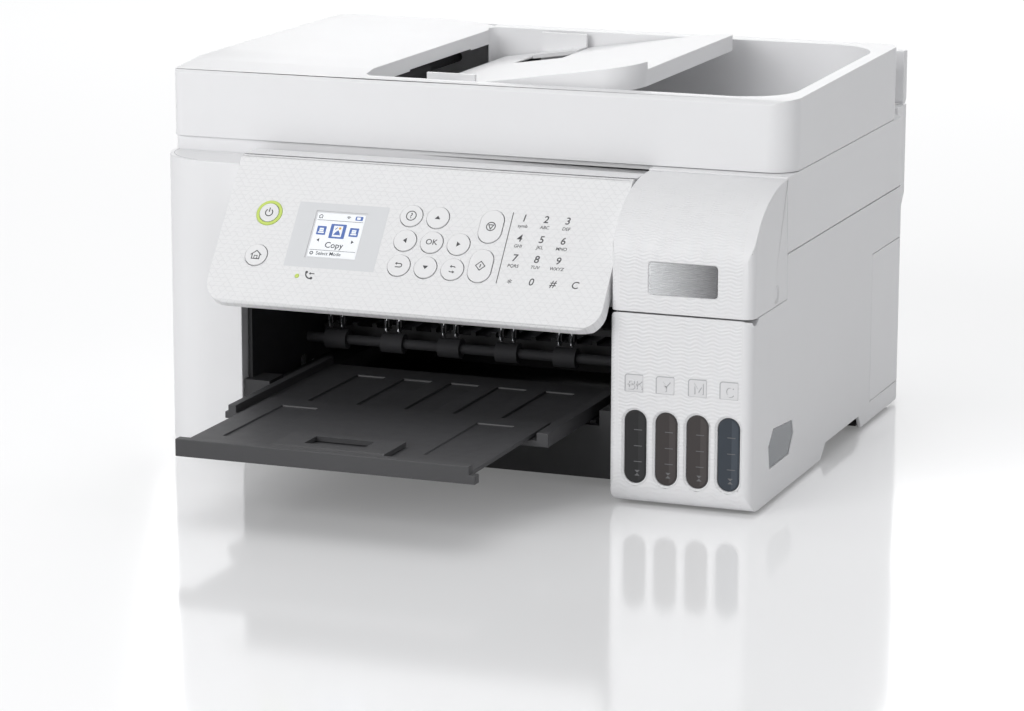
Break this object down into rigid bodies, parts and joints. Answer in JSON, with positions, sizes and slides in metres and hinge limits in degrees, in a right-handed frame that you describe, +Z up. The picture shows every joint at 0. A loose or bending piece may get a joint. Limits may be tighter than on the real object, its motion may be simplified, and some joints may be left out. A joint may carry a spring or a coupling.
{
  "type": "ink tank multifunction inkjet printer",
  "caption": "Desktop ink-tank inkjet printer with document feeder, flatbed scanner, tilting control panel and pull-out output tray.",
  "frame": {"origin": "middle of the footprint on the table, with the output tray pulled out", "axes": "+Z up, +Y from the front of the machine to its back, +X to the right seen from the front"},
  "size_m": [0.3836, 0.465, 0.237],
  "materials": {
    "shell": "fine satin texture",
    "inner_black": "matt",
    "tray_grey": "fine grain",
    "foot_rubber": "matt",
    "steel": "brushed",
    "roller_rubber": "ground rubber",
    "pad_white": "soft foam",
    "ink_tank": "smoky translucent",
    "smoked_window": "smoky",
    "board": "solder mask",
    "badge": "brushed",
    "stopper_black": "matt",
    "stopper_yellow": "matt",
    "stopper_magenta": "matt",
    "stopper_cyan": "matt",
    "bed_glass": "clear",
    "screen": "lit screen",
    "lamp": "lit",
    "key": "satin"
  },
  "bodies": {
    "base": {"base_pan": "inner_black", "rubber_feet": "foot_rubber", "left_cover": "shell", "tank_cover": "shell", "rear_side_cover": "shell", "rear_cover": "shell", "top_strip": "shell", "inner_frame": "inner_black", "platen": "inner_black", "carriage_rail": "steel", "carriage_drive": "inner_black", "maintenance_box": "pad_white", "ink_tanks": "ink_tank", "side_window": "smoked_window", "main_board": "board", "power_supply": "inner_black", "cover_screws": "steel", "sheet_guide": "inner_black"},
    "feed_shaft": {"feed_roller": "roller_rubber"},
    "exit_shaft": {"exit_roller": "roller_rubber"},
    "carriage": {"print_carriage": "inner_black"},
    "lid": {"tank_lid": "shell", "badge_plate": "badge"},
    "stopper_black": {"cap_black": "stopper_black"},
    "stopper_yellow": {"cap_yellow": "stopper_yellow"},
    "stopper_magenta": {"cap_magenta": "stopper_magenta"},
    "stopper_cyan": {"cap_cyan": "stopper_cyan"},
    "tray": {"output_tray": "tray_grey"},
    "extension": {"tray_extension": "tray_grey"},
    "sheet_stop": {"tray_stopper": "tray_grey"},
    "support": {"rear_support": "shell"},
    "guard": {"feeder_guard": "shell"},
    "rear_guide": {"rear_edge_guide": "inner_black"},
    "scanner": {"scanner_housing": "shell", "scanner_glass": "bed_glass", "sensor_rail": "steel"},
    "sensor": {"sensor_carriage": "inner_black"},
    "feeder": {"feeder_housing": "shell", "document_mat": "pad_white"},
    "cover": {"feeder_cover": "shell"},
    "pickup_shaft": {"pickup_roller": "roller_rubber"},
    "delivery_shaft": {"delivery_roller": "roller_rubber"},
    "originals_tray": {"input_tray": "shell"},
    "near_guide": {"front_guide": "shell"},
    "far_guide": {"back_guide": "shell"},
    "panel": {"panel_housing": "shell", "display": "screen", "panel_lights": "lamp"},
    "power_button": {"power_key": "key"},
    "home_button": {"home_key": "key"},
    "help_button": {"help_key": "key"},
    "up_button": {"up_key": "key"},
    "left_button": {"left_key": "key"},
    "ok_button": {"ok_key": "key"},
    "right_button": {"right_key": "key"},
    "back_button": {"back_key": "key"},
    "down_button": {"down_key": "key"},
    "mode_button": {"mode_key": "key"},
    "stop_button": {"stop_key": "key"},
    "start_button": {"start_key": "key"}
  },
  "joints": [
    {"name": "scanner_lift", "type": "hinge", "parent": "base", "child": "scanner", "pos_m": [0.00425, 0.2015, 0.176], "axis": [-1, 0, 0], "range_deg": [0, 25]},
    {"name": "feeder_lift", "type": "hinge", "parent": "scanner", "child": "feeder", "pos_m": [0.00425, 0.1875, 0.205], "axis": [-1, 0, 0], "range_deg": [0, 65]},
    {"name": "sensor_travel", "type": "slide", "parent": "scanner", "child": "sensor", "axis": [1, 0, 0], "range_m": [0, 0.315]},
    {"name": "feeder_cover_hinge", "type": "hinge", "parent": "feeder", "child": "cover", "pos_m": [-0.18875, 0.0725, 0.1995], "axis": [0, -1, 0], "range_deg": [0, 80]},
    {"name": "pickup_turn", "type": "hinge", "parent": "feeder", "child": "pickup_shaft", "pos_m": [-0.09975, 0.0725, 0.205], "axis": [0, 1, 0], "continuous": true},
    {"name": "delivery_turn", "type": "hinge", "parent": "feeder", "child": "delivery_shaft", "pos_m": [-0.07975, 0.0725, 0.194], "axis": [0, 1, 0], "continuous": true},
    {"name": "originals_tray_hinge", "type": "hinge", "parent": "feeder", "child": "originals_tray", "pos_m": [-0.05675, 0.0725, 0.205], "axis": [0, -1, 0], "range_deg": [0, 55]},
    {"name": "near_guide_slide", "type": "slide", "parent": "originals_tray", "child": "near_guide", "axis": [0, 1, 0], "range_m": [0, 0.032]},
    {"name": "far_guide_slide", "type": "slide", "parent": "originals_tray", "child": "far_guide", "axis": [0, 1, 0], "range_m": [-0.032, 0]},
    {"name": "panel_tilt", "type": "hinge", "parent": "base", "child": "panel", "pos_m": [0.00425, -0.07178, 0.17289], "axis": [-1, 0, 0], "range_deg": [-37.6, 8]},
    {"name": "power_press", "type": "slide", "parent": "panel", "child": "power_button", "axis": [0, 0.7923, -0.6101], "range_m": [0, 0.0012], "stiffness_N_per_m": 400},
    {"name": "home_press", "type": "slide", "parent": "panel", "child": "home_button", "axis": [0, 0.7923, -0.6101], "range_m": [0, 0.0012], "stiffness_N_per_m": 400},
    {"name": "help_press", "type": "slide", "parent": "panel", "child": "help_button", "axis": [0, 0.7923, -0.6101], "range_m": [0, 0.0012], "stiffness_N_per_m": 400},
    {"name": "up_press", "type": "slide", "parent": "panel", "child": "up_button", "axis": [0, 0.7923, -0.6101], "range_m": [0, 0.0012], "stiffness_N_per_m": 400},
    {"name": "left_press", "type": "slide", "parent": "panel", "child": "left_button", "axis": [0, 0.7923, -0.6101], "range_m": [0, 0.0012], "stiffness_N_per_m": 400},
    {"name": "ok_press", "type": "slide", "parent": "panel", "child": "ok_button", "axis": [0, 0.7923, -0.6101], "range_m": [0, 0.0012], "stiffness_N_per_m": 400},
    {"name": "right_press", "type": "slide", "parent": "panel", "child": "right_button", "axis": [0, 0.7923, -0.6101], "range_m": [0, 0.0012], "stiffness_N_per_m": 400},
    {"name": "back_press", "type": "slide", "parent": "panel", "child": "back_button", "axis": [0, 0.7923, -0.6101], "range_m": [0, 0.0012], "stiffness_N_per_m": 400},
    {"name": "down_press", "type": "slide", "parent": "panel", "child": "down_button", "axis": [0, 0.7923, -0.6101], "range_m": [0, 0.0012], "stiffness_N_per_m": 400},
    {"name": "mode_press", "type": "slide", "parent": "panel", "child": "mode_button", "axis": [0, 0.7923, -0.6101], "range_m": [0, 0.0012], "stiffness_N_per_m": 400},
    {"name": "stop_press", "type": "slide", "parent": "panel", "child": "stop_button", "axis": [0, 0.7923, -0.6101], "range_m": [0, 0.0012], "stiffness_N_per_m": 400},
    {"name": "start_press", "type": "slide", "parent": "panel", "child": "start_button", "axis": [0, 0.7923, -0.6101], "range_m": [0, 0.0012], "stiffness_N_per_m": 400},
    {"name": "tank_lid_hinge", "type": "hinge", "parent": "base", "child": "lid", "pos_m": [0.15025, -0.1065, 0.116], "axis": [1, 0, 0], "range_deg": [0, 66]},
    {"name": "black_stopper_hinge", "type": "hinge", "parent": "base", "child": "stopper_black", "pos_m": [0.12425, -0.0665, 0.103], "axis": [-1, 0, 0], "range_deg": [0, 100]},
    {"name": "yellow_stopper_hinge", "type": "hinge", "parent": "base", "child": "stopper_yellow", "pos_m": [0.14238, -0.0665, 0.103], "axis": [-1, 0, 0], "range_deg": [0, 100]},
    {"name": "magenta_stopper_hinge", "type": "hinge", "parent": "base", "child": "stopper_magenta", "pos_m": [0.16051, -0.0665, 0.103], "axis": [-1, 0, 0], "range_deg": [0, 100]},
    {"name": "cyan_stopper_hinge", "type": "hinge", "parent": "base", "child": "stopper_cyan", "pos_m": [0.17864, -0.0665, 0.103], "axis": [-1, 0, 0], "range_deg": [0, 100]},
    {"name": "output_tray_slide", "type": "slide", "parent": "base", "child": "tray", "axis": [0, 1, 0], "range_m": [0, 0.066]},
    {"name": "extension_slide", "type": "slide", "parent": "tray", "child": "extension", "axis": [0, 1, 0], "range_m": [0, 0.0855]},
    {"name": "sheet_stop_hinge", "type": "hinge", "parent": "extension", "child": "sheet_stop", "pos_m": [-0.01375, -0.2215, 0.046], "axis": [1, 0, 0], "range_deg": [0, 85]},
    {"name": "support_tilt", "type": "hinge", "parent": "base", "child": "support", "pos_m": [0.00425, 0.2285, 0.1884], "axis": [-1, 0, 0], "range_deg": [0, 20]},
    {"name": "guard_hinge", "type": "hinge", "parent": "base", "child": "guard", "pos_m": [-0.01875, 0.2159, 0.1853], "axis": [1, 0, 0], "range_deg": [0, 45]},
    {"name": "rear_guide_slide", "type": "slide", "parent": "base", "child": "rear_guide", "axis": [1, 0, 0], "range_m": [-0.06, 0]},
    {"name": "carriage_travel", "type": "slide", "parent": "base", "child": "carriage", "axis": [1, 0, 0], "range_m": [-0.228, 0]},
    {"name": "feed_turn", "type": "hinge", "parent": "base", "child": "feed_shaft", "pos_m": [-0.01575, 0.0915, 0.0536], "axis": [1, 0, 0], "continuous": true},
    {"name": "exit_turn", "type": "hinge", "parent": "base", "child": "exit_shaft", "pos_m": [-0.01575, 0.0155, 0.0536], "axis": [1, 0, 0], "continuous": true}
  ],
  "couplings": [
    {"joint": "exit_turn", "follows": "feed_turn", "ratio": 1},
    {"joint": "delivery_turn", "follows": "pickup_turn", "ratio": -1.8},
    {"joint": "far_guide_slide", "follows": "near_guide_slide", "ratio": -1}
  ]
}
